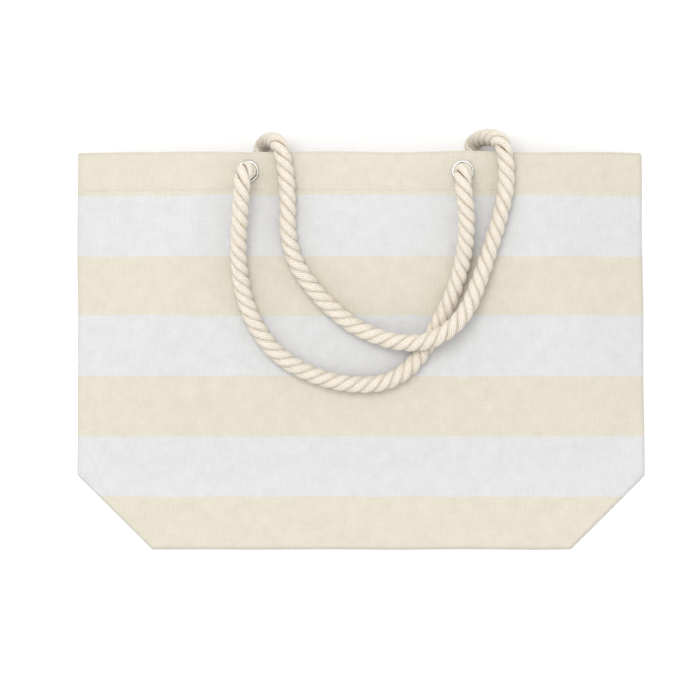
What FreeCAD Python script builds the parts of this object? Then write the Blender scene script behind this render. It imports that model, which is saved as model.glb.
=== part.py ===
"""Striped canvas beach bag with two twisted rope handles, lying flat on its back.

Millimetres. X runs across the bag, Y up towards its mouth and Z out of its front.
The origin is on the surface that the bag lies on, under the middle of its outline.
The mouth stands a little open, because the four rope knots lie inside it.
"""
import FreeCAD, Part

import math
import os

from FreeCAD import Vector

# ---- Driving dimensions -------------------------------------------------------------

BAG_WIDTH = 540.0
BAG_HEIGHT = 380.0
BASE_DEPTH = 142.0          # depth of the boxed base when the bag stands open
HEM_DEPTH = 38.0            # turned-in band round the mouth
SEAM_ALLOWANCE = 10.0

CANVAS = 1.2                # thickness of a panel
LINING = 1.0                # thickness of a hem or a seam's folded edge
BASE_CLOTH = 0.8            # thickness of each folded half of the base
LAYER_GAP = 0.4             # air between two layers of cloth

ROPE_RADIUS = 8.0
ROPE_GAP = 1.0              # air between a rope and the cloth that it lies on

EYELET_HOLE = 8.3           # radius that the rope passes through
EYELET_BARREL = 9.0         # outer radius of the barrel
EYELET_ROLL = 1.15          # radius of the rolled rim's section
EYELET_RIM = 10.75          # outer radius of the rolled rim
WASHER_RADIUS = 12.0
WASHER_THICKNESS = 0.8
METAL_GAP = 0.3             # air between a washer and the hem
RIM_GAP = 0.1               # air between an eyelet's rim and the panel
CLOTH_HOLE = 9.3            # radius of the hole punched in the cloth

EYELET_Y = 171.0
FRONT_EYELETS = {"left": -106.5, "right": 98.5}
BACK_EYELETS = {"left": -97.5, "right": 107.5}

KNOT_SIZE = 36.0            # a knot is as wide as it is long
KNOT_HEIGHT = 28.5
KNOT_ROUNDING = 11.0
FRONT_KNOT_REACH = 13.0     # from a front eyelet down to its knot
BACK_KNOT_REACH = 20.0      # from a back eyelet across to its knot
INNER_BEND = 9.0            # radius of the rope's middle where it turns into an eyelet
UNDER_BEND = 13.0           # and where it turns out of a back eyelet, under the bag
JOINT_GAP = 0.3             # between a handle and the rope that stays with the bag

# The cloth lies flat, except that it rises to a plateau over the knots at the mouth.
PLATEAU_HALF_WIDTH = 168.0
PLATEAU_FOOT = 130.0        # the Y where the plateau starts
BACK_LIFT = 18.5            # the back panel's height over the ropes that pass under it
BACK_RAMP_FOOT = 40.0
FRONT_EDGE = 5.6            # outer height of the front panel round its edges
FRONT_TOP = 57.0            # outer height of the front panel over the knots

# ---- Worked out from them -----------------------------------------------------------

SIDE = BAG_WIDTH / 2
MOUTH = BAG_HEIGHT / 2
CREASE = -BAG_HEIGHT / 2
CORNER = BASE_DEPTH / 2     # leg of the folded bottom corner
CORNER_Y = CREASE + CORNER
BASE_HALF_WIDTH = SIDE - CORNER
HEM_FOOT = MOUTH - HEM_DEPTH
DEEP = 400.0                # deeper and higher than anything in the model

BACK_HEM_LOW = BACK_LIFT + CANVAS + LAYER_GAP
BACK_WASHER_LOW = BACK_HEM_LOW + LINING + METAL_GAP
BACK_INNER_ROPE = BACK_WASHER_LOW + WASHER_THICKNESS + METAL_GAP + ROPE_RADIUS
FRONT_HEM_LOW = FRONT_TOP - CANVAS - LAYER_GAP - LINING
FRONT_WASHER_LOW = FRONT_HEM_LOW - METAL_GAP - WASHER_THICKNESS
FRONT_INNER_ROPE = FRONT_WASHER_LOW - METAL_GAP - ROPE_RADIUS
KNOT_LOW = BACK_WASHER_LOW + WASHER_THICKNESS + METAL_GAP
BARREL_REACH = CANVAS + LAYER_GAP + LINING + METAL_GAP + WASHER_THICKNESS
RAMP_SLOPE = (FRONT_TOP - FRONT_EDGE) / (PLATEAU_FOOT - CORNER_Y)


def front_height(y):
    """Outer height of the front panel between the plateau's two sides."""
    return min(FRONT_TOP, max(FRONT_EDGE, FRONT_EDGE + RAMP_SLOPE * (y - CORNER_Y)))


# ---- Rope routes --------------------------------------------------------------------
# Each point is (x, y, height of the rope's middle over where it would lie on the cloth).

FRONT_ROUTE = [
    (-106.5, 171.0, -6.4),
    (-106.5, 171.0, 3.6),
    (-108.5, 172.0, 12.5),
    (-111.0, 166.0, 21.0),
    (-111.8, 150.0, 20.5),
    (-113.4, 131.0, 14.6),
    (-114.8, 110.0, 10.6),
    (-115.2, 88.0, 5.2),
    (-112.8, 64.0, 1.0),
    (-106.5, 40.0, 0.0),
    (-95.5, 17.5, 0.0),
    (-76.0, -6.5, 0.0),
    (-44.0, -24.0, 0.0),
    (-9.0, -32.5, 0.0),
    (24.0, -31.5, 0.0),
    (49.5, -16.0, 0.0),
    (66.0, 8.0, 0.0),
    (78.5, 32.0, 0.0),
    (90.0, 56.0, 0.0),
    (97.5, 80.0, 2.6),
    (101.4, 104.0, 8.2),
    (102.0, 127.0, 13.6),
    (100.0, 147.0, 18.0),
    (97.4, 166.0, 14.8),
    (98.5, 171.0, 3.6),
    (98.5, 171.0, -6.4),
]

# The back rope comes from under the bag, goes round the mouth's edge and over the front.
UNDER_END_Y = 184.6         # where it comes out from under the mouth
TURN_TOP = FRONT_TOP + 10.8
EDGE_RADIUS = 15.5          # of the rope's middle round the mouth's edge
UNDER_ENDS = {"left": -95.0, "right": 108.0}
TURN_Y = {"left": 201.0, "right": 204.0}
TURN_TOP_X = {"left": -76.5, "right": 136.0}

BACK_ROUTE_TOP = [
    (-70.0, 172.0, 0.6),
    (-68.0, 144.0, 0.8),
    (-69.0, 116.0, 0.6),
    (-64.0, 90.0, 0.0),
    (-50.0, 66.0, 0.0),
    (-31.0, 44.5, 0.0),
    (-8.0, 25.0, 0.6),
    (17.5, 13.0, 3.0),
    (43.0, 6.8, 11.5),
    (67.0, 9.0, 17.4),
    (88.0, 21.2, 17.6),
    (103.5, 40.2, 13.4),
    (112.5, 63.0, 7.4),
    (120.5, 86.0, 3.0),
    (128.0, 109.0, 1.2),
    (135.0, 133.0, 0.8),
    (139.6, 155.0, 0.8),
    (139.9, 176.5, 1.2),
]


def lying(route):
    """The route's points in space, each raised from the cloth under it."""
    over = ROPE_RADIUS + ROPE_GAP
    return [(x, y, front_height(y) + over + lift) for x, y, lift in route]


# ---- Shapes -------------------------------------------------------------------------


def box(low, high):
    size = [b - a for a, b in zip(low, high)]
    return Part.makeBox(size[0], size[1], size[2], Vector(*low))


def flat_plate(points, low, thickness):
    wire = Part.makePolygon([Vector(x, y, low) for x, y in points + points[:1]])
    return Part.Face(wire).extrude(Vector(0, 0, thickness))


def rectangle(half_width, y_low, y_high, z):
    corners = [(-half_width, y_low), (half_width, y_low), (half_width, y_high), (-half_width, y_high)]
    return Part.makePolygon([Vector(x, y, z) for x, y in corners + corners[:1]])


def hill(foot_y, foot_z, top_z):
    """The four-sided rise under the plateau, cut off square at the mouth."""
    foot = rectangle(SIDE, foot_y, MOUTH, foot_z)
    top = rectangle(PLATEAU_HALF_WIDTH, PLATEAU_FOOT, MOUTH, top_z)
    return Part.makeLoft([foot, top], True, True)


def under_front(drop=0.0):
    """Everything lower than the front panel's outer surface, less a drop."""
    slab = box((-SIDE, CREASE, -DEEP), (SIDE, MOUTH, FRONT_EDGE - drop))
    return slab.fuse(hill(CORNER_Y, FRONT_EDGE - drop, FRONT_TOP - drop)).removeSplitter()


def under_back(rise=0.0):
    """Everything lower than the back panel's outer surface, plus a rise."""
    slab = box((-SIDE, CREASE, -DEEP), (SIDE, MOUTH, rise))
    return slab.fuse(hill(BACK_RAMP_FOOT, rise, BACK_LIFT + rise)).removeSplitter()


def outline():
    """The bag's outline from above, as a tall prism."""
    points = [
        (-SIDE, MOUTH),
        (-SIDE, CORNER_Y),
        (-BASE_HALF_WIDTH, CREASE),
        (BASE_HALF_WIDTH, CREASE),
        (SIDE, CORNER_Y),
        (SIDE, MOUTH),
    ]
    return flat_plate(points, -DEEP / 2, DEEP)


def punched(cloth, eyelets):
    for x in eyelets.values():
        hole = Part.makeCylinder(CLOTH_HOLE, DEEP, Vector(x, EYELET_Y, -DEEP / 2))
        cloth = cloth.cut(hole)
    return cloth.removeSplitter()


def front_panel():
    skin = under_front().cut(under_front(CANVAS))
    return punched(skin.common(outline()), FRONT_EYELETS)


def back_panel():
    skin = under_back(CANVAS).cut(under_back())
    return punched(skin.common(outline()), BACK_EYELETS)


def hem_band(skin):
    inset = 1.0
    return skin.common(box((inset - SIDE, HEM_FOOT, -DEEP), (SIDE - inset, MOUTH, DEEP)))


def front_hem():
    outer = CANVAS + LAYER_GAP
    skin = under_front(outer).cut(under_front(outer + LINING))
    return punched(hem_band(skin), FRONT_EYELETS)


def back_hem():
    inner = CANVAS + LAYER_GAP
    skin = under_back(inner + LINING).cut(under_back(inner))
    band = hem_band(skin)
    clear_of_seam = SIDE - SEAM_ALLOWANCE - 2.0
    trim = box((-clear_of_seam, CREASE, -DEEP), (clear_of_seam, MOUTH, DEEP))
    return punched(band.common(trim), BACK_EYELETS)


def side_seam(side):
    """The folded edge of the two panels, sewn together inside the bag."""
    low = CANVAS + LAYER_GAP
    skin = under_back(low + LINING).cut(under_back(low))
    inner = SIDE - SEAM_ALLOWANCE
    outer = SIDE - 0.5
    x_low, x_high = (-outer, -inner) if side == "left" else (inner, outer)
    return skin.common(box((x_low, CORNER_Y + 1.0, -DEEP), (x_high, MOUTH - 1.0, DEEP)))


def base_half(layer):
    """One half of the boxed base, folded up between the panels."""
    low = CANVAS + LAYER_GAP + layer * (BASE_CLOTH + LAYER_GAP)
    half = BASE_HALF_WIDTH - 1.0
    return box((-half, CREASE + 1.0, low), (half, CORNER_Y - 1.0, low + BASE_CLOTH))


def base_seam():
    half = BASE_HALF_WIDTH - 1.0
    low = CANVAS + LAYER_GAP
    return box((-half, CORNER_Y - 0.6, low), (half, CORNER_Y + SEAM_ALLOWANCE - 3.0, low + 2 * BASE_CLOTH))


def corner_fold(side):
    """The triangle of cloth that tucks in at a bottom corner."""
    sign = -1 if side == "left" else 1
    inner = BASE_HALF_WIDTH
    points = [
        (sign * (SIDE - 3.0), CORNER_Y - 0.8),
        (sign * (inner + 0.5), CREASE + 3.0),
        (sign * (inner + 0.5), CORNER_Y - 0.8),
    ]
    return flat_plate(points, CANVAS + LAYER_GAP, LINING)


def eyelet(x, cloth_face, outward):
    """A rolled rim on the cloth's outer face, with a barrel through the cloth."""
    roll_middle = EYELET_RIM - EYELET_ROLL
    rim_z = cloth_face + outward * (RIM_GAP + EYELET_ROLL)
    rim = Part.makeTorus(roll_middle, EYELET_ROLL, Vector(x, EYELET_Y, rim_z))
    inner_end = cloth_face - outward * BARREL_REACH
    low, high = min(rim_z, inner_end), max(rim_z, inner_end)
    barrel = Part.makeCylinder(EYELET_BARREL, high - low, Vector(x, EYELET_Y, low))
    bore = Part.makeCylinder(EYELET_HOLE, high - low, Vector(x, EYELET_Y, low))
    return rim.fuse(barrel.cut(bore))


def washer(x, low):
    disc = Part.makeCylinder(WASHER_RADIUS, WASHER_THICKNESS, Vector(x, EYELET_Y, low))
    hole = Part.makeCylinder(EYELET_BARREL + 0.2, WASHER_THICKNESS, Vector(x, EYELET_Y, low))
    return disc.cut(hole)


def knot(x_low, y_low):
    low = (x_low, y_low, KNOT_LOW)
    lump = box(low, (x_low + KNOT_SIZE, y_low + KNOT_SIZE, KNOT_LOW + KNOT_HEIGHT))
    return lump.makeFillet(KNOT_ROUNDING, lump.Edges)


def rope(name, points, set_radii=None):
    """A round tube along straight runs joined by tangent arcs."""
    spots = [Vector(*p) for p in points]
    set_radii = set_radii or {}
    edges = []
    here = spots[0]
    radii = []
    for i in range(1, len(spots) - 1):
        back = spots[i - 1] - spots[i]
        ahead = spots[i + 1] - spots[i]
        turn = math.pi - back.getAngle(ahead)
        natural = 0.45 * min(back.Length, ahead.Length) / math.tan(turn / 2)
        radius = set_radii.get(i, natural)
        reach = radius * math.tan(turn / 2)
        start = spots[i] + back.normalize() * reach
        end = spots[i] + ahead.normalize() * reach
        inward = (back + ahead).normalize()
        middle = spots[i] + inward * (radius / math.cos(turn / 2) - radius)
        edges.append(Part.LineSegment(here, start).toShape())
        edges.append(Part.Arc(start, middle, end).toShape())
        here = end
        radii.append(round(radius))
    edges.append(Part.LineSegment(here, spots[-1]).toShape())
    path = Part.Wire(edges)
    heading = spots[1] - spots[0]
    section = Part.Wire(Part.makeCircle(ROPE_RADIUS, spots[0], heading))
    tube = path.makePipeShell([section], True, True)
    ratio = tube.Volume / (math.pi * ROPE_RADIUS ** 2 * path.Length)
    print(f"{name}: length {path.Length:.0f}, volume ratio {ratio:.4f}, radii {radii}")
    return tube


def front_neck(name, x):
    """From the knot inside, up through the front eyelet to where the handle starts."""
    points = [
        (x, EYELET_Y - FRONT_KNOT_REACH, FRONT_INNER_ROPE),
        (x, EYELET_Y, FRONT_INNER_ROPE),
        (x, EYELET_Y, lying(FRONT_ROUTE)[0][2] - JOINT_GAP),
    ]
    return rope(name, points, {1: INNER_BEND})


def under_x(side, y):
    """The back rope's X as it runs out from its eyelet under the mouth."""
    start = BACK_EYELETS[side]
    return start + (UNDER_ENDS[side] - start) * (y - EYELET_Y) / (UNDER_END_Y - EYELET_Y)


def back_neck(name, side):
    """From the knot inside, down through the back eyelet and on under the bag's mouth."""
    x = BACK_EYELETS[side]
    end_y = UNDER_END_Y - JOINT_GAP
    points = [
        (x + BACK_KNOT_REACH, EYELET_Y, BACK_INNER_ROPE),
        (x, EYELET_Y, BACK_INNER_ROPE),
        (x, EYELET_Y, ROPE_RADIUS),
        (under_x(side, end_y), end_y, ROPE_RADIUS),
    ]
    return rope(name, points, {1: INNER_BEND, 2: UNDER_BEND})


def turn_round_edge(side):
    """The points that take the back rope from under the mouth to over it."""
    return [
        (UNDER_ENDS[side], UNDER_END_Y, ROPE_RADIUS),
        (under_x(side, TURN_Y[side]), TURN_Y[side], ROPE_RADIUS),
        (TURN_TOP_X[side], TURN_Y[side], TURN_TOP),
    ]


def back_handle():
    points = turn_round_edge("left") + lying(BACK_ROUTE_TOP) + turn_round_edge("right")[::-1]
    last = len(points) - 1
    return rope("back_handle", points, {i: EDGE_RADIUS for i in (1, 2, last - 2, last - 1)})


def build():
    nodes = {
        "back_panel": back_panel(),
        "back_hem": back_hem(),
        "base_back_half": base_half(0),
        "base_front_half": base_half(1),
        "base_seam": base_seam(),
        "front_panel": front_panel(),
        "front_hem": front_hem(),
        "front_handle": rope("front_handle", lying(FRONT_ROUTE)),
        "back_handle": back_handle(),
    }
    for side in ("left", "right"):
        front_x = FRONT_EYELETS[side]
        back_x = BACK_EYELETS[side]
        nodes[f"side_seam_{side}"] = side_seam(side)
        nodes[f"corner_fold_{side}"] = corner_fold(side)
        nodes[f"front_eyelet_{side}"] = eyelet(front_x, FRONT_TOP, 1)
        nodes[f"back_eyelet_{side}"] = eyelet(back_x, BACK_LIFT, -1)
        nodes[f"front_washer_{side}"] = washer(front_x, FRONT_WASHER_LOW)
        nodes[f"back_washer_{side}"] = washer(back_x, BACK_WASHER_LOW)
        nodes[f"front_neck_{side}"] = front_neck(f"front_neck_{side}", front_x)
        nodes[f"back_neck_{side}"] = back_neck(f"back_neck_{side}", side)
        nodes[f"front_knot_{side}"] = knot(front_x - KNOT_SIZE / 2, EYELET_Y - FRONT_KNOT_REACH - KNOT_SIZE)
        nodes[f"back_knot_{side}"] = knot(back_x + BACK_KNOT_REACH, EYELET_Y - KNOT_SIZE / 2)
    return nodes


os.makedirs("parts", exist_ok=True)
for node_name, shape in build().items():
    if len(shape.Solids) != 1 or not shape.isValid():
        print("CHECK", node_name, len(shape.Solids), shape.isValid())
    shape.exportStep(f"parts/{node_name}.step")
print("nodes written:", len(os.listdir("parts")))
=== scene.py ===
import math

import bpy
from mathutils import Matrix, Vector, noise


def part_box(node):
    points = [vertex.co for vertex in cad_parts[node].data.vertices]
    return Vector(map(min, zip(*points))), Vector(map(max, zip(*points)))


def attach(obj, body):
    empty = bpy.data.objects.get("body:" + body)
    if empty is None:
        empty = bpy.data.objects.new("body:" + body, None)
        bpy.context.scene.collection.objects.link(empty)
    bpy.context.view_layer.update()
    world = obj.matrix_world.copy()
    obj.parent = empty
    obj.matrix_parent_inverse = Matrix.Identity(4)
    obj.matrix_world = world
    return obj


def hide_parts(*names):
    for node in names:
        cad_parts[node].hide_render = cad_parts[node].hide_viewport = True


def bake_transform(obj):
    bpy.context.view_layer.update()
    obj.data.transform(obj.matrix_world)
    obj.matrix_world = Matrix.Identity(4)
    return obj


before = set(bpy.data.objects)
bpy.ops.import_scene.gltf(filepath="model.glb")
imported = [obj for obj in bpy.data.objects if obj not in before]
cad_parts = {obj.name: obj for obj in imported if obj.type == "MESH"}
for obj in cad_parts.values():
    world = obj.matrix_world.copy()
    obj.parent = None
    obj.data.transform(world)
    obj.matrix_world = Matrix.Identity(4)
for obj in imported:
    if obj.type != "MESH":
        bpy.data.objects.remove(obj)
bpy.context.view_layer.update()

# ---- Sizes from the frame -----------------------------------------------------------

MM = 0.001
panel_low, panel_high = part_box("front_panel")
SIDE = panel_high.x
MOUTH = panel_high.y
CREASE = panel_low.y
FRONT_TOP = panel_high.z
FRONT_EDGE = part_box("base_front_half")[1].z + 2.0 * MM
BACK_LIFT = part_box("back_panel")[1].z - 1.2 * MM
HEM_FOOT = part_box("front_hem")[0].y
CORNER_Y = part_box("base_back_half")[1].y + 1.0 * MM
PLATEAU_HALF_WIDTH = 168.0 * MM
PLATEAU_FOOT = 130.0 * MM
BACK_RAMP_FOOT = 40.0 * MM
RAMP_SLOPE = (FRONT_TOP - FRONT_EDGE) / (PLATEAU_FOOT - CORNER_Y)
SIDE_SLOPE = (FRONT_TOP - FRONT_EDGE) / (SIDE - PLATEAU_HALF_WIDTH)

CLOTH = 1.1 * MM            # thickness of the canvas
HEM_DROP = 2.6 * MM         # from the canvas's outer face to the hem's inner face
GRID = 2.5 * MM             # size of a cloth mesh's cells
EDGE_ROLL = 4.0 * MM        # radius of the rounded side and bottom edges
CORNER_POWER = 5.0          # how tightly the panel turns where its two slopes meet
HOLE_RADIUS = 9.2 * MM      # of the hole that an eyelet goes through
HEM_CLOTH = 0.9 * MM
HEM_INSET = 1.5 * MM        # from the bag's side to the hem's end
FOLD_CLOTH = 0.8 * MM       # thickness of the seams and the folded base
FOLD_GRID = 4.0 * MM
RIGHT_LEAN = 3.6 * MM       # how far the right side leans out at the bottom
STITCH_Y = HEM_FOOT + 1.5 * MM     # the row of stitches
WEAVE_PITCH = 0.95 * MM

ROPE_RADIUS = 8.0 * MM
ROPE_GAP = 0.4 * MM
STRAND_RADIUS = 4.45 * MM
STRAND_OFFSET = 3.80 * MM   # from the rope's middle to a strand's middle
LAY_LENGTH = 37.0 * MM      # of one full turn of a strand
RING_STEP = 1.4 * MM        # along a strand's mesh
STRAND_SIDES = 14
LAY_SIGN = -1               # an S-laid rope
YARN_TURNS = 31.0           # turns of the yarns round their strand, per metre of rope
YARNS = 11                  # shown round each strand
KNOT_TIGHTNESS = 0.84       # a knot's rope is squeezed to this share of its thickness
KNOT_POINTS = 160
EYELET_SWELL = 0.14         # how much thicker a rope is where it comes out of an eyelet
EYELET_SWELL_REACH = 8.0 * MM

OVERLOCK_PITCH = 2.4 * MM
OVERLOCK_WIDTH = 4.5 * MM
THREAD_MARGIN = 2.0 * MM    # from a seam's end to its first thread

# Where each rope is cut into pieces.
OUT_OF_EYELET = FRONT_TOP + 2.5 * MM
EDGE_MIDDLE = 37.0 * MM     # half way up the mouth's edge
UNDER_BAG = 12.0 * MM       # the back rope's middle is lower than this under the bag

# Where the woven stripes meet, from the mouth down. They start and end with cream.
STRIPE_EDGES = [0.1476, 0.0902, 0.0334, -0.0240, -0.0818, -0.1402]

SIDES = ("left", "right")


def middle(node):
    low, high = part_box(node)
    return (low + high) / 2


FRONT_EYELETS = {side: middle(f"front_eyelet_{side}") for side in SIDES}
BACK_EYELETS = {side: middle(f"back_eyelet_{side}") for side in SIDES}
EYELET_Y = FRONT_EYELETS["left"].y

# ---- Rope routes --------------------------------------------------------------------
# Each point is (x, y, height of the rope's middle over where it would lie on the cloth).

FRONT_ROUTE = [
    (-0.1065, 0.1710, -0.0064),
    (-0.1065, 0.1710, 0.0036),
    (-0.1085, 0.1720, 0.0125),
    (-0.1110, 0.1660, 0.0210),
    (-0.1118, 0.1500, 0.0205),
    (-0.1134, 0.1310, 0.0146),
    (-0.1148, 0.1100, 0.0106),
    (-0.1152, 0.0880, 0.0052),
    (-0.1128, 0.0640, 0.0010),
    (-0.1065, 0.0400, 0.0000),
    (-0.0955, 0.0175, 0.0000),
    (-0.0760, -0.0065, 0.0000),
    (-0.0440, -0.0240, 0.0000),
    (-0.0090, -0.0325, 0.0000),
    (0.0240, -0.0315, 0.0000),
    (0.0495, -0.0160, 0.0000),
    (0.0660, 0.0080, 0.0000),
    (0.0785, 0.0320, 0.0000),
    (0.0900, 0.0560, 0.0000),
    (0.0975, 0.0800, 0.0026),
    (0.1014, 0.1040, 0.0082),
    (0.1020, 0.1270, 0.0136),
    (0.1000, 0.1470, 0.0180),
    (0.0974, 0.1660, 0.0148),
    (0.0985, 0.1710, 0.0036),
    (0.0985, 0.1710, -0.0064),
]

# The back rope comes from under the bag, goes round the mouth's edge and over the front.
UNDER_END_Y = 0.1846
TURN_TOP = FRONT_TOP + 10.8 * MM
UNDER_ENDS = {"left": -0.0950, "right": 0.1080}
TURN_Y = {"left": 0.2010, "right": 0.2040}
TURN_TOP_X = {"left": -0.0765, "right": 0.1360}

BACK_ROUTE_TOP = [
    (-0.0700, 0.1720, 0.0006),
    (-0.0680, 0.1440, 0.0008),
    (-0.0690, 0.1160, 0.0006),
    (-0.0640, 0.0900, 0.0000),
    (-0.0500, 0.0660, 0.0000),
    (-0.0310, 0.0445, 0.0000),
    (-0.0080, 0.0250, 0.0006),
    (0.0175, 0.0130, 0.0030),
    (0.0430, 0.0068, 0.0115),
    (0.0670, 0.0090, 0.0174),
    (0.0880, 0.0212, 0.0176),
    (0.1035, 0.0402, 0.0134),
    (0.1125, 0.0630, 0.0074),
    (0.1205, 0.0860, 0.0030),
    (0.1280, 0.1090, 0.0012),
    (0.1350, 0.1330, 0.0008),
    (0.1396, 0.1550, 0.0008),
    (0.1399, 0.1765, 0.0012),
]


def plain_front_height(y):
    """Height of the CAD's front panel between the plateau's two sides."""
    return min(FRONT_TOP, max(FRONT_EDGE, FRONT_EDGE + RAMP_SLOPE * (y - CORNER_Y)))


def lying(route):
    """The route's points in space, each raised from the cloth under it."""
    over = ROPE_RADIUS + ROPE_GAP
    return [(x, y, plain_front_height(y) + over + lift) for x, y, lift in route]


# ---- Cloth surfaces -----------------------------------------------------------------


def soft_min(a, b, width):
    """The smaller of two heights, rounded where they meet."""
    mix = max(width - abs(a - b), 0.0) / width
    return min(a, b) - mix * mix * width / 4


def soft_max(a, b, width):
    """The larger of two heights, rounded where they meet."""
    return -soft_min(-a, -b, width)


def half_width(y):
    """Half the bag's width at y: the bottom corners are folded in at 45 degrees."""
    return SIDE - max(0.0, CORNER_Y - y)


def outline_x(share, y, inset=0.0):
    """X at a share, from -1 to 1, of the bag's width at y. The right side leans out a little."""
    lean = RIGHT_LEAN * max(0.0, share) * min(1.0, (MOUTH - y) / (MOUTH - CORNER_Y))
    wave = 0.7 * MM * noise.noise(Vector((share, y * 14.0, 2.0)))
    return share * (half_width(y) - inset) + lean + wave * share


def outline_y(x, y):
    """Y moved by the slight waviness of the mouth's edge and, less, of the bottom crease."""
    near_mouth = max(0.0, (y - HEM_FOOT) / (MOUTH - HEM_FOOT))
    near_crease = max(0.0, 1 - (y - CREASE) / (20 * MM))
    wave = noise.noise(Vector((x * 15.0, 4.0, 1.0)))
    return y + 1.3 * MM * wave * near_mouth + 0.5 * MM * wave * near_crease


def undulation(x, y, seed):
    """Soft unevenness of washed canvas, in metres."""
    broad = noise.noise(Vector((x * 11.0, y * 13.0, seed)))
    fine = noise.noise(Vector(((x + y) * 38.0, (x - y) * 17.0, seed + 7.0)))
    creases = noise.noise(Vector(((x - y) * 95.0, (x + y) * 40.0, seed + 3.0)))
    return (0.9 * broad + 0.34 * fine + 0.12 * creases) * MM


def eyelet_pull(x, y):
    """Faint folds that run out from each front eyelet."""
    total = 0.0
    for spot in FRONT_EYELETS.values():
        dx, dy = x - spot.x, y - spot.y
        distance = math.hypot(dx, dy)
        angle = math.atan2(dy, dx)
        fade = math.exp(-((distance - 14 * MM) / (20 * MM)) ** 2)
        total += fade * math.sin(7 * angle + 60 * distance) * 0.30 * MM
    return total


def hem_pucker(x, y):
    """Small upright puckers in the turned-in hem, strongest by its stitches."""
    if y < HEM_FOOT - 8 * MM:
        return 0.0
    strength = math.exp(-abs(y - HEM_FOOT - 6 * MM) / (16 * MM))
    return 0.42 * MM * strength * noise.noise(Vector((x * 105.0, y * 26.0, 9.0)))


def hem_groove(y):
    """The shallow dip that a row of stitches pulls into the cloth."""
    from_row = (y - STITCH_Y) / (2.2 * MM)
    return -0.45 * MM * math.exp(-from_row * from_row)


def roll_off(distance, radius):
    """How far a rounded edge has dropped, as a share, at a distance in from it."""
    if distance >= radius:
        return 0.0
    distance = max(distance, 0.0)
    return 1.0 - math.sqrt(max(0.0, 1.0 - (1.0 - distance / radius) ** 2))


def front_z(x, y):
    """Outer surface of the front canvas."""
    side_drop = SIDE_SLOPE * soft_max(abs(x) - PLATEAU_HALF_WIDTH, 0.0, 40 * MM)
    foot_drop = -RAMP_SLOPE * soft_min(y - PLATEAU_FOOT, 0.0, 60 * MM)
    drop = (side_drop ** CORNER_POWER + foot_drop ** CORNER_POWER) ** (1 / CORNER_POWER)
    z = soft_max(FRONT_TOP - drop, FRONT_EDGE, 3 * MM)
    raised = min(1.0, max(0.0, (z - FRONT_EDGE) / (12 * MM)))
    z += undulation(x, y, 1.0) * (0.35 + 0.65 * raised)
    z += hem_groove(y) + hem_pucker(x, y) + eyelet_pull(x, y)
    edge = min(half_width(y) - abs(x), y - CREASE)
    return z - roll_off(edge, EDGE_ROLL) * (z - 0.5 * MM)


def back_z(x, y):
    """Outer surface of the back canvas, which faces down."""
    side_slope = BACK_LIFT / (SIDE - PLATEAU_HALF_WIDTH)
    foot_slope = BACK_LIFT / (PLATEAU_FOOT - BACK_RAMP_FOOT)
    side = BACK_LIFT - side_slope * soft_max(abs(x) - PLATEAU_HALF_WIDTH, 0.0, 50 * MM)
    foot = BACK_LIFT + foot_slope * soft_min(y - PLATEAU_FOOT, 0.0, 20 * MM)
    z = soft_max(soft_min(side, foot, 6 * MM), 0.0, 6 * MM)
    return max(0.1 * MM, z + undulation(x, y, 5.0) * min(1.0, z / (8 * MM)) * 0.5)


# ---- Materials ----------------------------------------------------------------------


def new_material(name):
    """A material, its node tree and its shader."""
    material = bpy.data.materials.new(name)
    material.use_nodes = True
    tree = material.node_tree
    tree.nodes["Principled BSDF"].inputs["Specular IOR Level"].default_value = 0.25
    return material, tree, tree.nodes["Principled BSDF"]


def math_node(tree, operation, *values):
    """A maths node. Each value is a number or another node's output."""
    made = tree.nodes.new("ShaderNodeMath")
    made.operation = operation
    for socket, value in zip(made.inputs, values):
        if isinstance(value, (int, float)):
            socket.default_value = value
        else:
            tree.links.new(value, socket)
    return made.outputs[0]


def uv_parts(tree):
    """The UV map's two directions, as separate outputs, and both together."""
    uv = tree.nodes.new("ShaderNodeUVMap")
    uv.uv_map = "UVMap"
    apart = tree.nodes.new("ShaderNodeSeparateXYZ")
    tree.links.new(uv.outputs[0], apart.inputs[0])
    return apart.outputs[0], apart.outputs[1], uv.outputs[0]


def noise_node(tree, where, scale, stretch=(1, 1, 1), detail=2.0):
    """Noise from 0 to 1. stretch scales each direction of where."""
    mapping = tree.nodes.new("ShaderNodeMapping")
    mapping.inputs["Scale"].default_value = stretch
    tree.links.new(where, mapping.inputs["Vector"])
    made = tree.nodes.new("ShaderNodeTexNoise")
    made.inputs["Scale"].default_value = scale
    made.inputs["Detail"].default_value = detail
    tree.links.new(mapping.outputs[0], made.inputs["Vector"])
    return made.outputs["Fac"]


def ramp_node(tree, value, stops, interpolation="LINEAR"):
    """A colour ramp. stops are (place, colour)."""
    made = tree.nodes.new("ShaderNodeValToRGB")
    made.color_ramp.interpolation = interpolation
    elements = made.color_ramp.elements
    while len(elements) > 1:
        elements.remove(elements[0])
    elements[0].position = stops[0][0]
    elements[0].color = (*stops[0][1], 1)
    for place, colour in stops[1:]:
        elements.new(place).color = (*colour, 1)
    tree.links.new(value, made.inputs[0])
    return made.outputs[0]


def brightened(tree, colour, factor):
    """The colour times a grey factor."""
    made = tree.nodes.new("ShaderNodeVectorMath")
    made.operation = "SCALE"
    tree.links.new(colour, made.inputs[0])
    tree.links.new(factor, made.inputs["Scale"])
    return made.outputs[0]


def bump_into(tree, shader, height, distance, strength):
    """A bump that raises the surface by distance where height is 1."""
    bump = tree.nodes.new("ShaderNodeBump")
    bump.inputs["Distance"].default_value = distance
    bump.inputs["Strength"].default_value = strength
    tree.links.new(height, bump.inputs["Height"])
    tree.links.new(bump.outputs[0], shader.inputs["Normal"])


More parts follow.
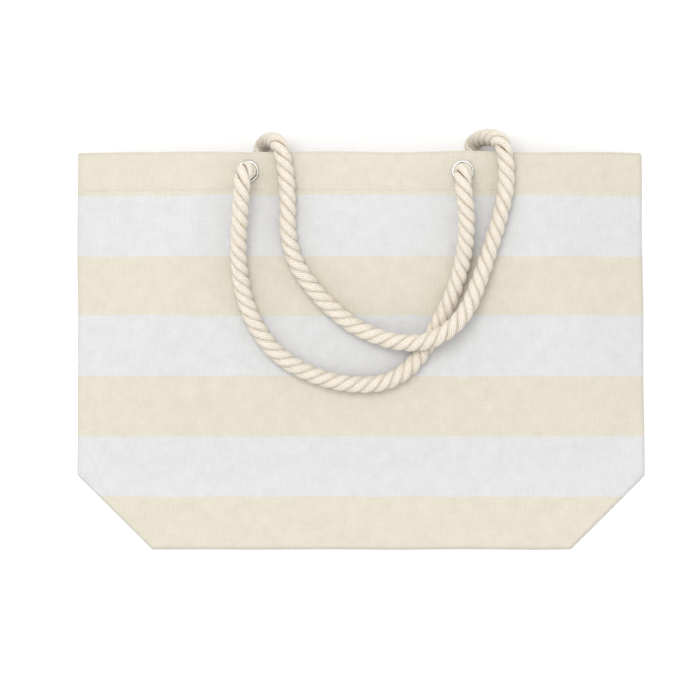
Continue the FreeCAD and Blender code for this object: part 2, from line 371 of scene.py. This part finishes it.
def plain_weave(tree, u, v, pitch):
    """Height of a plain weave, from 0 to 1: warp and weft threads take turns on top."""
    across = math_node(tree, "SINE", math_node(tree, "MULTIPLY", u, math.pi / pitch))
    along = math_node(tree, "SINE", math_node(tree, "MULTIPLY", v, math.pi / pitch))
    warp_round = math_node(tree, "ABSOLUTE", across)
    weft_round = math_node(tree, "ABSOLUTE", along)
    warp_up = math_node(tree, "GREATER_THAN", math_node(tree, "MULTIPLY", across, along), 0.0)
    warp = math_node(tree, "MULTIPLY", warp_round, math_node(tree, "MULTIPLY_ADD", weft_round, 0.5, 0.5))
    weft = math_node(tree, "MULTIPLY", weft_round, math_node(tree, "MULTIPLY_ADD", warp_round, 0.5, 0.5))
    return math_node(tree, "ADD", math_node(tree, "MULTIPLY", warp_up, warp),
                     math_node(tree, "MULTIPLY", math_node(tree, "SUBTRACT", 1.0, warp_up), weft))


CREAM = (0.583, 0.542, 0.453)
WHITE = (0.573, 0.573, 0.573)


def stripe_colours(tree, uv, v):
    """Cream and white in turn up the bag, with edges that wander a little."""
    wander = math_node(tree, "MULTIPLY_ADD", noise_node(tree, uv, 14.0), 0.0030, -0.0015)
    place = math_node(tree, "MULTIPLY_ADD", math_node(tree, "ADD", v, wander), 1 / (2 * MOUTH), 0.5)
    stops = [(0.0, CREAM)]
    for index, edge in enumerate(reversed(STRIPE_EDGES)):
        stops.append((edge / (2 * MOUTH) + 0.5, WHITE if index % 2 == 0 else CREAM))
    return ramp_node(tree, place, stops, "CONSTANT")


def canvas_material():
    """Plain-weave cotton, woven in cream and white stripes across the bag."""
    material, tree, shader = new_material("striped_canvas")
    u, v, uv = uv_parts(tree)
    stripes = stripe_colours(tree, uv, v)
    warp_slubs = noise_node(tree, uv, 60.0, (9.0, 1.4, 1.0), 3.0)
    weft_slubs = noise_node(tree, uv, 60.0, (1.4, 9.0, 1.0), 3.0)
    blotches = noise_node(tree, uv, 70.0, detail=4.0)
    weave = plain_weave(tree, u, v, WEAVE_PITCH)
    shade = math_node(tree, "MULTIPLY_ADD", warp_slubs, 0.15, 0.795)
    shade = math_node(tree, "MULTIPLY_ADD", weft_slubs, 0.12, shade)
    shade = math_node(tree, "MULTIPLY_ADD", blotches, 0.14, shade)
    # Painted shade: the weave factor darkens the dips between the threads.
    shade = math_node(tree, "MULTIPLY", shade, math_node(tree, "MULTIPLY_ADD", weave, 0.07, 0.955))
    tree.links.new(brightened(tree, stripes, shade), shader.inputs["Base Color"])
    height = math_node(tree, "ADD", weave, math_node(tree, "ADD", warp_slubs, weft_slubs))
    bump_into(tree, shader, height, 0.16 * MM, 0.6)
    shader.inputs["Roughness"].default_value = 0.9
    shader.inputs["Sheen Weight"].default_value = 0.08
    return material


def inner_cloth_material():
    """The cream cloth of the base, the seams and the folds inside the bag."""
    material, tree, shader = new_material("inner_cloth")
    u, v, uv = uv_parts(tree)
    weave = plain_weave(tree, u, v, WEAVE_PITCH)
    slubs = noise_node(tree, uv, 60.0, (0.6, 14.0, 1.0))
    colour = ramp_node(tree, slubs, [(0.2, (0.59, 0.55, 0.46)), (0.8, (0.66, 0.62, 0.53))])
    # Painted shade: the weave darkens the dips between the threads.
    shade = math_node(tree, "MULTIPLY_ADD", weave, 0.10, 0.93)
    tree.links.new(brightened(tree, colour, shade), shader.inputs["Base Color"])
    bump_into(tree, shader, math_node(tree, "ADD", weave, slubs), 0.18 * MM, 0.7)
    shader.inputs["Roughness"].default_value = 0.92
    return material


def yarn_heights(tree, u, v, uv):
    """Rounded yarns that wind round each strand, from 0 between them to 1 on top."""
    turns = math_node(tree, "MULTIPLY_ADD", v, YARN_TURNS, u)
    fuzz = noise_node(tree, uv, 8.0, (0.6, 30.0, 1.0))
    place = math_node(tree, "ADD", math_node(tree, "MULTIPLY", turns, YARNS), fuzz)
    wave = math_node(tree, "SINE", math_node(tree, "MULTIPLY", place, math.pi))
    return math_node(tree, "ABSOLUTE", wave)


def rope_material():
    """Natural cotton: fine yarns along each strand, and grooves between strands painted darker brown as
    shade.
    """
    material, tree, shader = new_material("cotton_rope")
    u, v, uv = uv_parts(tree)
    reach = tree.nodes.new("ShaderNodeAttribute")
    reach.attribute_name = "reach"
    # The cotton's own colour on the strands' outsides, turning to painted warm brown shade deep in the
    # grooves between strands.
    groove_shaded_colour = ramp_node(tree, reach.outputs["Fac"], [
        (0.745, (0.13, 0.075, 0.04)),
        (0.770, (0.34, 0.25, 0.16)),
        (0.800, (0.56, 0.49, 0.39)),
        (0.88, (0.65, 0.585, 0.485)),
        (1.00, (0.69, 0.63, 0.54)),
    ])
    yarn = yarn_heights(tree, u, v, uv)
    flecks = noise_node(tree, uv, 9.0, (3.0, 90.0, 1.0), 3.0)
    # Painted shade: darker between the yarns. The flecks are the cotton's own uneven tone.
    shade = math_node(tree, "MULTIPLY_ADD", yarn, 0.22, 0.60)
    shade = math_node(tree, "MULTIPLY_ADD", flecks, 0.60, shade)
    tree.links.new(brightened(tree, groove_shaded_colour, shade), shader.inputs["Base Color"])
    height = math_node(tree, "MULTIPLY_ADD", flecks, 2.4, yarn)
    bump_into(tree, shader, height, 0.42 * MM, 1.0)
    shader.inputs["Roughness"].default_value = 0.86
    shader.inputs["Sheen Weight"].default_value = 0.12
    return material


def metal_material():
    """Polished nickel plate with faint scratches round the rim."""
    material, tree, shader = new_material("nickel")
    _, _, uv = uv_parts(tree)
    scratches = noise_node(tree, uv, 40.0, (1.0, 9.0, 1.0), 4.0)
    rough = math_node(tree, "MULTIPLY_ADD", scratches, 0.18, 0.16)
    tree.links.new(rough, shader.inputs["Roughness"])
    colour = ramp_node(tree, scratches, [(0.3, (0.66, 0.66, 0.66)), (0.7, (0.76, 0.76, 0.75))])
    tree.links.new(colour, shader.inputs["Base Color"])
    bump_into(tree, shader, scratches, 0.02 * MM, 0.4)
    shader.inputs["Metallic"].default_value = 1.0
    return material


def thread_material():
    """Twisted sewing thread."""
    material, tree, shader = new_material("sewing_thread")
    u, v, _ = uv_parts(tree)
    ply_pitch = 0.5 * MM
    twist = math_node(tree, "MULTIPLY", math_node(tree, "ADD", u, v), 2 * math.pi / ply_pitch)
    plies = math_node(tree, "MULTIPLY_ADD", math_node(tree, "SINE", twist), 0.5, 0.5)
    # Painted shade: darker in the grooves between the plies.
    colour = ramp_node(tree, plies, [(0.0, (0.54, 0.50, 0.42)), (1.0, (0.67, 0.63, 0.54))])
    tree.links.new(colour, shader.inputs["Base Color"])
    bump_into(tree, shader, plies, 0.08 * MM, 0.6)
    shader.inputs["Roughness"].default_value = 0.75
    return material


def floor_material():
    """A plain matt white."""
    material, _, shader = new_material("pale_floor")
    shader.inputs["Base Color"].default_value = (0.84, 0.84, 0.84, 1)
    shader.inputs["Roughness"].default_value = 1.0
    shader.inputs["Specular IOR Level"].default_value = 0.0
    return material


canvas = canvas_material()
inner_cloth = inner_cloth_material()
rope = rope_material()
nickel = metal_material()
thread = thread_material()

# ---- Mesh helpers -------------------------------------------------------------------


def new_object(name, verts, faces, corner_uvs, material):
    """A smooth mesh object. corner_uvs holds one (u, v) for each corner of each face in turn."""
    mesh = bpy.data.meshes.new(name)
    mesh.from_pydata(verts, [], faces)
    values = [value for uv in corner_uvs for value in uv]
    mesh.uv_layers.new(name="UVMap").data.foreach_set("uv", values)
    mesh.shade_smooth()
    mesh.materials.append(material)
    obj = bpy.data.objects.new(name, mesh)
    bpy.context.scene.collection.objects.link(obj)
    return obj


def by_corner(faces, uvs):
    """One (u, v) per vertex, spread over the corners of the faces."""
    return [uvs[corner] for face in faces for corner in face]


def on_circle(centre, normal, binormal, angle, radius):
    """The point at an angle on the circle round centre."""
    return centre + (normal * math.cos(angle) + binormal * math.sin(angle)) * radius


def mesh_of(obj):
    """A new mesh of what the object looks like with its modifiers, or of its curve's line."""
    graph = bpy.context.evaluated_depsgraph_get()
    return bpy.data.meshes.new_from_object(obj.evaluated_get(graph), depsgraph=graph)


def thicken(obj, thickness):
    """Gives a sheet its thickness, for good, on the side away from its normals."""
    solid = obj.modifiers.new("thickness", "SOLIDIFY")
    solid.thickness = thickness
    solid.offset = -1
    solid.use_even_offset = False
    mesh = mesh_of(obj)
    obj.modifiers.clear()
    obj.data = mesh


def steps(low, high, fine_high):
    """Even steps from low to high, with extra ones close to low and, if fine_high, to high."""
    close = [0.0, 0.3 * MM, 0.8 * MM, 1.6 * MM, 2.8 * MM, 4.4 * MM]
    start = [low + gap for gap in close]
    end = [high - gap for gap in reversed(close)] if fine_high else [high]
    count = max(1, round((end[0] - start[-1]) / GRID))
    inner = [start[-1] + (end[0] - start[-1]) * i / count for i in range(1, count)]
    return start + inner + end


def grid_faces(columns, lines, flipped=False):
    """The quads of a grid of vertices that are counted along each line in turn."""
    faces = []
    for j in range(lines - 1):
        for i in range(columns - 1):
            first = j * columns + i
            face = (first, first + 1, first + columns + 1, first + columns)
            faces.append(face[::-1] if flipped else face)
    return faces


def punch(verts, faces, holes):
    """The faces that aren't over a hole, and the vertices of those that are."""
    left, rim = [], set()
    for face in faces:
        x = sum(verts[corner][0] for corner in face) / 4
        y = sum(verts[corner][1] for corner in face) / 4
        if any(math.hypot(x - hole.x, y - hole.y) < HOLE_RADIUS for hole in holes):
            rim.update(face)
        else:
            left.append(face)
    return left, rim


def make_round(verts, rim, holes):
    """Moves the vertices at a hole's edge onto its circle."""
    for index in rim:
        vert = verts[index]
        for hole in holes:
            dx, dy = vert[0] - hole.x, vert[1] - hole.y
            distance = math.hypot(dx, dy)
            if distance < 2 * HOLE_RADIUS:
                grow = HOLE_RADIUS / max(distance, 1e-6)
                vert[0], vert[1] = hole.x + dx * grow, hole.y + dy * grow


def without_spare(verts, uvs, faces):
    """The mesh without the vertices that no face uses: verts, uvs and faces."""
    used = sorted({corner for face in faces for corner in face})
    place = {old: new for new, old in enumerate(used)}
    faces = [tuple(place[corner] for corner in face) for face in faces]
    return [verts[old] for old in used], [uvs[old] for old in used], faces


def across_bag(lines, height, inset=0.0):
    """Vertices and UVs across the bag. lines are (y, how far over height(x, y) it lies)."""
    shares = [x / SIDE for x in steps(-SIDE, SIDE, True)]
    verts, uvs = [], []
    for y, rise in lines:
        for share in shares:
            x = share * (half_width(y) - inset)
            verts.append([outline_x(share, y, inset), outline_y(x, y), height(x, y) + rise])
            uvs.append((x, y))
    return verts, uvs, len(shares)


# ---- Rope meshes --------------------------------------------------------------------


def nurbs_line(name, points):
    """Points along the route's own smooth line, read from its NURBS spline."""
    curve = bpy.data.curves.new(name, "CURVE")
    curve.dimensions = "3D"
    curve.resolution_u = 24
    spline = curve.splines.new("NURBS")
    spline.points.add(len(points) - 1)
    for spot, point in zip(spline.points, points):
        spot.co = (*point, 1.0)
    spline.use_endpoint_u = True
    spline.order_u = 3
    carrier = bpy.data.objects.new(name, curve)
    bpy.context.scene.collection.objects.link(carrier)
    bpy.context.view_layer.update()
    line = [vert.co.copy() for vert in mesh_of(carrier).vertices]
    bpy.data.objects.remove(carrier)
    return line


def even(line, step):
    """The line again, with points a fixed step apart."""
    out, carry = [line[0].copy()], 0.0
    for a, b in zip(line, line[1:]):
        length = (b - a).length
        while carry + length >= step:
            share = (step - carry) / length
            a = a.lerp(b, share)
            out.append(a.copy())
            length = (b - a).length
            carry = 0.0
        carry += length
    if (out[-1] - line[-1]).length > step * 0.3:
        out.append(line[-1].copy())
    return out


def frames(line, first):
    """A tangent, normal and binormal at each point, with no twist between them."""
    tangents = []
    for i in range(len(line)):
        tangents.append((line[min(i + 1, len(line) - 1)] - line[max(i - 1, 0)]).normalized())
    normal = (first - tangents[0] * first.dot(tangents[0])).normalized()
    out = []
    for tangent in tangents:
        normal = (normal - tangent * normal.dot(tangent)).normalized()
        out.append((tangent, normal, tangent.cross(normal)))
    return out


def strand_rings(line, turn, plump):
    """One strand's rings along the whole line: (distance along the rope, verts, how far out)."""
    path = []
    for i, (_, normal, binormal) in enumerate(frames(line, Vector((0, 1, 0.3)))):
        angle = turn + LAY_SIGN * 2 * math.pi * i * RING_STEP / LAY_LENGTH
        path.append(on_circle(line[i], normal, binormal, angle, STRAND_OFFSET * plump[i]))
    rings = []
    for i, (_, normal, binormal) in enumerate(frames(path, path[0] - line[0])):
        s = i * RING_STEP
        unevenness = 0.03 * noise.noise(Vector((s * 60.0, turn * 3.0, 0.0)))
        radius = STRAND_RADIUS * plump[i] * (1.0 + unevenness)
        verts = []
        for k in range(STRAND_SIDES):
            verts.append(on_circle(path[i], normal, binormal, 2 * math.pi * k / STRAND_SIDES, radius))
        rings.append((s, verts, [(vert - line[i]).length / (ROPE_RADIUS * plump[i]) for vert in verts]))
    return rings


def three_strands(line, plump):
    """The three strands of a rope. plump gives each ring's thickness as a share of the usual one."""
    return [strand_rings(line, 2 * math.pi * k / 3, plump) for k in range(3)]


def swollen(line, places):
    """Thickness shares for a rope that swells where it comes out of its eyelets."""
    shares = [1.0] * len(line)
    for i, point in enumerate(line):
        for place in places:
            shares[i] += EYELET_SWELL * math.exp(-((point - place).length / EYELET_SWELL_REACH) ** 2)
    return shares


def rope_piece(name, strands, first, last):
    """The part of a twisted rope from ring first to ring last."""
    verts, faces, uvs, reaches = [], [], [], []
    for k, rings in enumerate(strands):
        base = len(verts)
        part = rings[first:last + 1]
        for _, ring, reach in part:
            verts += ring
            reaches += reach
        for r in range(len(part) - 1):
            low, high = base + r * STRAND_SIDES, base + (r + 1) * STRAND_SIDES
            v0, v1 = part[r][0], part[r + 1][0]
            for c in range(STRAND_SIDES):
                following = (c + 1) % STRAND_SIDES
                faces.append((low + c, low + following, high + following, high + c))
                u0, u1 = k + c / STRAND_SIDES, k + (c + 1) / STRAND_SIDES
                uvs += [(u0, v0), (u1, v0), (u1, v1), (u0, v1)]
        for ring, order in ((0, -1), (len(part) - 1, 1)):
            faces.append([base + ring * STRAND_SIDES + c for c in range(STRAND_SIDES)][::order])
            uvs += [(k + 0.5, part[ring][0])] * STRAND_SIDES
    obj = new_object(name, verts, faces, uvs, rope)
    obj.data.attributes.new("reach", "FLOAT", "POINT").data.foreach_set("value", reaches)
    return obj


def first_ring(line, test):
    """The first ring whose middle passes the test."""
    return next(i for i, point in enumerate(line) if test(point))


def last_ring(line, test):
    """The last ring whose middle passes the test."""
    return len(line) - 1 - first_ring(line[::-1], test)


def knot_line(centre, reach):
    """An overhand knot's line, drawn tight, with its two ends inside the lump."""
    line = []
    for i in range(KNOT_POINTS + 1):
        t = 2 * math.pi * i / KNOT_POINTS
        x = (math.sin(t) + 2 * math.sin(2 * t)) / 3
        y = (math.cos(t) - 2 * math.cos(2 * t)) / 3
        z = -math.sin(3 * t)
        line.append(centre + Vector((x * reach.x, y * reach.y, z * reach.z)))
    return even(line, RING_STEP)


def add_knot(node, body):
    """An overhand knot that fills its node's box."""
    low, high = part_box(node)
    reach = (high - low) / 2 - Vector((1, 1, 1)) * ROPE_RADIUS * KNOT_TIGHTNESS
    line = knot_line((low + high) / 2, reach)
    strands = three_strands(line, [KNOT_TIGHTNESS] * len(line))
    obj = rope_piece(f"{node}_rope", strands, 0, len(line) - 1)
    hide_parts(node)
    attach(obj, body)
    return obj


# ---- Threads ------------------------------------------------------------------------


def thread_piece(verts, faces, a, b, up, radius):
    """One stitch: a short rounded thread that dips into the cloth at both ends."""
    along = b - a
    side = along.cross(up).normalized()
    sides, rings = 6, 5
    base = len(verts)
    for r in range(rings):
        share = r / (rings - 1)
        swell = math.sin(math.pi * (0.12 + 0.76 * share))
        centre = a + along * share + up * radius * (swell * 1.3 - 0.7)
        for k in range(sides):
            angle = 2 * math.pi * k / sides
            verts.append(on_circle(centre, side, up, angle, radius * (0.45 + 0.55 * swell)))
    for r in range(rings - 1):
        low, high = base + r * sides, base + (r + 1) * sides
        for k in range(sides):
            following = (k + 1) % sides
            faces.append((low + k, high + k, high + following, low + following))
    faces.append(tuple(base + k for k in range(sides)))
    faces.append(tuple(base + (rings - 1) * sides + k for k in reversed(range(sides))))


def thread_object(name, verts, faces):
    return new_object(name, verts, faces, by_corner(faces, [(v[0], v[1]) for v in verts]), thread)


def stitch_row(name, height, outward):
    """The row of stitches that holds the hem, across the bag."""
    pitch, gap, radius, inset = 3.2 * MM, 0.7 * MM, 0.30 * MM, 4.0 * MM
    verts, faces = [], []
    x = -SIDE + inset
    while x + pitch < SIDE - inset:
        end_x = x + pitch - gap
        a = Vector((x, STITCH_Y, height(x, STITCH_Y)))
        b = Vector((end_x, STITCH_Y, height(end_x, STITCH_Y)))
        thread_piece(verts, faces, a, b, Vector((0, 0, outward)), radius)
        x += pitch
    stitches = thread_object(name, verts, faces)
    return stitches


def overlock(name, path, width):
    """Zigzag thread over a raw edge, along a path of points, width wide to the left of it."""
    up, radius = Vector((0, 0, 1)), 0.22 * MM
    verts, faces = [], []
    for a, b in zip(path, path[1:]):
        aside = (b - a).cross(up).normalized() * width
        thread_piece(verts, faces, a, b - aside, up, radius)
        thread_piece(verts, faces, b - aside, b, up, radius)
    obj = thread_object(name, verts, faces)
    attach(obj, "back")
    return obj


# ---- Cloth pieces -------------------------------------------------------------------


def cloth_object(name, node, grid, material, thickness):
    """A cloth piece with its thickness, in place of its node. grid is its verts, uvs and faces."""
    verts, uvs, faces = without_spare(*grid)
    obj = new_object(name, verts, faces, by_corner(faces, uvs), material)
    thicken(obj, thickness)
    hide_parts(node)
    return obj


def panel(name, node, height, holes, facing_up):
    """A canvas sheet over the bag's whole outline, with its eyelet holes."""
    rows = steps(CREASE, MOUTH - HEM_DROP / 2, False)
    verts, uvs, wide = across_bag([(y, 0.0) for y in rows], height)
    faces, rim = punch(verts, grid_faces(wide, len(rows), not facing_up), holes)
    make_round(verts, rim, holes)
    return cloth_object(name, node, (verts, uvs, faces), canvas, CLOTH)


def hem_band(name, node, height, holes, sign):
    """The turned-in band: it rolls over the mouth's edge and runs down inside.

    sign is -1 where the inside is below the outer face, and 1 where it is above.
    """
    radius = HEM_DROP / 2
    roll_steps = 6
    lines = []
    for k in range(roll_steps + 1):
        angle = math.pi / 2 - math.pi * k / roll_steps
        y = MOUTH - radius + radius * math.cos(angle)
        lines.append((y, sign * radius * (1 - math.sin(angle))))
    inner = steps(HEM_FOOT, MOUTH - 3 * MM, False)
    lines += [(y, sign * HEM_DROP) for y in reversed(inner)]
    verts, uvs, wide = across_bag(lines, height, HEM_INSET)
    faces, _ = punch(verts, grid_faces(wide, len(lines), sign > 0), holes)
    return cloth_object(name, node, (verts, uvs, faces), canvas, HEM_CLOTH)


def cloth_strip(node, ends=None):
    """A flat piece of cloth inside the bag: a fine, slightly uneven sheet in its node's box.

    ends(y) gives its left and right X where it doesn't fill the box.
    """
    low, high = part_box(node)
    columns = max(2, round((high.x - low.x) / FOLD_GRID))
    lines = max(2, round((high.y - low.y) / FOLD_GRID))
    verts, uvs = [], []
    for j in range(lines + 1):
        y = low.y + (high.y - low.y) * j / lines
        left, right = ends(y) if ends else (low.x, high.x)
        for i in range(columns + 1):
            x = left + (right - left) * i / columns
            unevenness = 0.12 * MM * noise.noise(Vector((x * 40, y * 40, low.z * 900)))
            verts.append((x, y, low.z + FOLD_CLOTH + unevenness))
            uvs.append((x, y))
    grid = (verts, uvs, grid_faces(columns + 1, lines + 1))
    strip = cloth_object(f"{node}_cloth", node, grid, inner_cloth, FOLD_CLOTH)
    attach(strip, "back")
    return strip


def corner_fold_ends(side):
    """The function that gives a corner fold's left and right X at a height y."""
    low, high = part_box(f"corner_fold_{side}")
    inner, reach = (high.x, low.x - high.x) if side == "left" else (low.x, high.x - low.x)

    def ends(y):
        outer = inner + reach * max(0.02, (y - low.y) / (high.y - low.y))
        return min(inner, outer), max(inner, outer)

    return ends


def side_overlock(side):
    """The thread over a side seam's raw edge."""
    low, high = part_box(f"side_seam_{side}")
    raw_x = high.x if side == "left" else low.x
    path = []
    y = low.y + THREAD_MARGIN
    while y < high.y - THREAD_MARGIN:
        path.append(Vector((raw_x, y, back_z(raw_x, y) + 2.6 * MM)))
        y += OVERLOCK_PITCH
    width = -OVERLOCK_WIDTH if side == "left" else OVERLOCK_WIDTH
    return overlock(f"side_overlock_{side}", path, width)


def base_overlock():
    """The thread over the bottom seam's raw edge."""
    low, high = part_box("base_seam")
    path = []
    x = low.x + THREAD_MARGIN
    while x < high.x - THREAD_MARGIN:
        path.append(Vector((x, high.y, low.z + 0.95 * MM)))
        x += OVERLOCK_PITCH
    return overlock("base_overlock", path, OVERLOCK_WIDTH)


def inner_pieces():
    """The base, the seams and the corner folds, inside the bag."""
    halves = [cloth_strip(node) for node in ("base_back_half", "base_front_half")]
    seam = cloth_strip("base_seam")
    at_sides = []
    for side in SIDES:
        at_sides.append(cloth_strip(f"corner_fold_{side}", corner_fold_ends(side)))
        at_sides.append(cloth_strip(f"side_seam_{side}"))
        at_sides.append(side_overlock(side))
    return [seam, base_overlock(), *halves, *at_sides]


# ---- Ropes --------------------------------------------------------------------------


def front_inner(side):
    """Control points from a front knot, up through its eyelet."""
    x = FRONT_EYELETS[side].x
    knot_y = middle(f"front_knot_{side}").y
    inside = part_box(f"front_neck_{side}")[0].z + ROPE_RADIUS
    return [(x, knot_y + 8 * MM, inside - 4 * MM), (x, EYELET_Y - 13 * MM, inside), (x, EYELET_Y, inside)]


def back_inner(side):
    """Control points from a back knot, down through its eyelet to the mouth's edge."""
    x = BACK_EYELETS[side].x
    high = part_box(f"back_neck_{side}")[1].z - ROPE_RADIUS
    turn_share = (TURN_Y[side] - EYELET_Y) / (UNDER_END_Y - EYELET_Y)
    turn_x = x + (UNDER_ENDS[side] - x) * turn_share
    return [
        (x + 28 * MM, EYELET_Y, high),
        (x + 20 * MM, EYELET_Y, high),
        (x, EYELET_Y, high),
        (x, EYELET_Y, ROPE_RADIUS),
        (UNDER_ENDS[side], UNDER_END_Y, ROPE_RADIUS),
        (turn_x, TURN_Y[side], ROPE_RADIUS),
        (TURN_TOP_X[side], TURN_Y[side], TURN_TOP),
    ]


def whole_line(name, inner, over_cloth):
    """A rope's line from one of its knots to the other, with points a ring's step apart."""
    points = inner("left") + lying(over_cloth) + inner("right")[::-1]
    return even(nurbs_line(name, points), RING_STEP)


def add_necks(face, strands, left_end, right_start):
    """A rope's two ends and their knots, which stay with the bag's front or back."""
    last = len(strands[0]) - 1
    spans = {"left": (0, left_end), "right": (right_start, last)}
    necks, knots = [], []
    for side in SIDES:
        neck = rope_piece(f"{face}_neck_{side}_rope", strands, *spans[side])
        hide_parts(f"{face}_neck_{side}")
        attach(neck, face)
        necks.append(neck)
        knots.append(add_knot(f"{face}_knot_{side}", face))
    return necks + knots


def add_front_rope():
    """The handle, its own line, and the knots and necks that stay with the front panel."""
    line = whole_line("front_rope_line", front_inner, FRONT_ROUTE)
    exits = [Vector((spot.x, spot.y + 2 * MM, FRONT_TOP + 17 * MM)) for spot in FRONT_EYELETS.values()]
    strands = three_strands(line, swollen(line, exits))
    start = first_ring(line, lambda point: point.z > OUT_OF_EYELET)
    stop = last_ring(line, lambda point: point.z > OUT_OF_EYELET)
    rope_handle = rope_piece("front_handle_rope", strands, start, stop)
    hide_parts("front_handle")
    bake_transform(rope_handle)
    return rope_handle, line[start:stop + 1], add_necks("front", strands, start, stop)


def add_back_rope():
    """The handle, its own line, and the bends, necks and knots that it comes from.

    The rope leaves the back's eyelets, comes round the mouth's edge and swings from there.
    """
    line = whole_line("back_rope_line", back_inner, BACK_ROUTE_TOP)
    strands = three_strands(line, [1.0] * len(line))
    past_edge = [i for i, point in enumerate(line) if point.y > MOUTH + 5 * MM and point.z > EDGE_MIDDLE]
    middle_ring = len(line) // 2
    start = min(i for i in past_edge if i < middle_ring)
    stop = max(i for i in past_edge if i > middle_ring)
    neck_end = first_ring(line, lambda point: point.y > UNDER_END_Y and point.z < UNDER_BAG)
    neck_start = last_ring(line, lambda point: point.y > UNDER_END_Y and point.z < UNDER_BAG)
    rope_handle = rope_piece("back_handle_rope", strands, start, stop)
    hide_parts("back_handle")
    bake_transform(rope_handle)
    bends = [
        rope_piece("back_bend_left_rope", strands, neck_end, start),
        rope_piece("back_bend_right_rope", strands, stop, neck_start),
    ]
    for bend in bends:
        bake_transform(bend)
    return rope_handle, line[start:stop + 1], bends + add_necks("back", strands, neck_end, neck_start)


# ---- Eyelets ------------------------------------------------------------------------


def lathe(name, centre, outward, profile):
    """A metal ring turned from a closed profile of (radius, height along outward)."""
    count = 96
    wide = len(profile)
    verts, uvs, faces = [], [], []
    for i in range(count):
        angle = 2 * math.pi * i / count
        for k, (radius, height) in enumerate(profile):
            x, y = centre.x + radius * math.cos(angle), centre.y + radius * math.sin(angle)
            verts.append((x, y, centre.z + outward * height))
            uvs.append((i / count, k / wide))
    for i in range(count):
        a, b = i * wide, ((i + 1) % count) * wide
        for k in range(wide):
            following = (k + 1) % wide
            face = (a + k, b + k, b + following, a + following)
            faces.append(face if outward > 0 else face[::-1])
    return new_object(name, verts, faces, by_corner(faces, uvs), nickel)


def eyelet_profile():
    """A barrel that rolls outwards into a rounded rim."""
    rim, inner, barrel, wall = 10.75 * MM, 8.3 * MM, 3.6 * MM, 0.7 * MM
    roll = (rim - inner) / 2
    roll_steps = 12
    profile = [(inner, -barrel)]
    for k in range(roll_steps + 1):
        angle = math.pi - math.pi * k / roll_steps
        profile.append((inner + roll + roll * math.cos(angle), 0.15 * MM + 1.35 * MM * math.sin(angle)))
    profile.append((rim - 0.5 * MM, 0.0))
    profile.append((inner + wall, -0.1 * MM))
    profile.append((inner + wall, -barrel))
    return profile


def washer_profile():
    """A flat ring with its face's edges taken off."""
    inner, outer, thickness, bevel = 9.3 * MM, 12.0 * MM, 0.8 * MM, 0.25 * MM
    return [
        (inner, 0.0),
        (inner, thickness - bevel),
        (inner + bevel, thickness),
        (outer - bevel, thickness),
        (outer, thickness - bevel),
        (outer, 0.0),
    ]


def eyelet_set(face, side, spot, surface, outward):
    """An eyelet on the cloth's outer face, and its washer inside the bag."""
    rim_centre = Vector((spot.x, spot.y, surface))
    rim = lathe(f"{face}_eyelet_{side}_rim", rim_centre, outward, eyelet_profile())
    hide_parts(f"{face}_eyelet_{side}")
    low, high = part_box(f"{face}_washer_{side}")
    ring_centre = Vector((spot.x, spot.y, high.z if outward > 0 else low.z))
    ring = lathe(f"{face}_washer_{side}_ring", ring_centre, -outward, washer_profile())
    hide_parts(f"{face}_washer_{side}")
    for obj in (rim, ring):
        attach(obj, face)


# ---- Floor, light and camera --------------------------------------------------------


def make_floor():
    half = 3.0
    corners = [(-half, -half, 0), (half, -half, 0), (half, half, 0), (-half, half, 0)]
    mesh = bpy.data.meshes.new("floor")
    mesh.from_pydata(corners, [], [(0, 1, 2, 3)])
    mesh.materials.append(floor_material())
    made = bpy.data.objects.new("floor", mesh)
    made.location.z = -0.2 * MM
    bpy.context.scene.collection.objects.link(made)
    return made


def make_key_light():
    """A broad soft light high above the bag, a little to its upper left."""
    data = bpy.data.lights.new("key", "AREA")
    data.shape = "DISK"
    data.size = 2.2
    data.energy = 110.0
    made = bpy.data.objects.new("key", data)
    made.location = (-0.6, 1.2, 4.5)
    made.rotation_euler = (-made.location).to_track_quat("-Z", "Y").to_euler()
    bpy.context.scene.collection.objects.link(made)
    return made


def make_world():
    """Even white light from all round."""
    world = bpy.data.worlds.new("studio")
    world.use_nodes = True
    background = world.node_tree.nodes["Background"]
    background.inputs["Color"].default_value = (1.0, 1.0, 1.0, 1)
    background.inputs["Strength"].default_value = 1.02
    bpy.context.scene.world = world


def make_camera():
    """A camera far above the bag, looking straight down at its front."""
    view_middle = Vector((-0.009, 0.001, 0.03))
    view_width = 0.669
    data = bpy.data.cameras.new("camera")
    data.sensor_width = 36.0
    data.lens = 400.0
    camera = bpy.data.objects.new("camera", data)
    camera.location = view_middle + Vector((0, 0, view_width * data.lens / data.sensor_width))
    bpy.context.scene.collection.objects.link(camera)
    bpy.context.scene.camera = camera


# ---- The bag ------------------------------------------------------------------------

front_holes = list(FRONT_EYELETS.values())
back_holes = list(BACK_EYELETS.values())
front_canvas = panel("front_canvas", "front_panel", front_z, front_holes, True)
back_canvas = panel("back_canvas", "back_panel", back_z, back_holes, False)
front_hem = hem_band("front_hem_band", "front_hem", front_z, front_holes, -1)
back_hem = hem_band("back_hem_band", "back_hem", back_z, back_holes, 1)
front_stitches = stitch_row("front_hem_stitches", front_z, 1)
back_stitches = stitch_row("back_hem_stitches", back_z, -1)
inside = inner_pieces()

for piece in (front_canvas, front_hem, front_stitches):
    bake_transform(piece)
for piece in (back_canvas, back_hem, back_stitches):
    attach(piece, "back")

front_handle, front_path, front_ends = add_front_rope()
back_handle, back_path, back_ends = add_back_rope()

for side in SIDES:
    eyelet_set("front", side, FRONT_EYELETS[side], FRONT_TOP + 0.6 * MM, 1)
    eyelet_set("back", side, BACK_EYELETS[side], BACK_LIFT - 0.3 * MM, -1)

# ---- The scene ----------------------------------------------------------------------

floor = make_floor()
key = make_key_light()
make_world()
make_camera()
bpy.context.scene.view_settings.view_transform = "Standard"
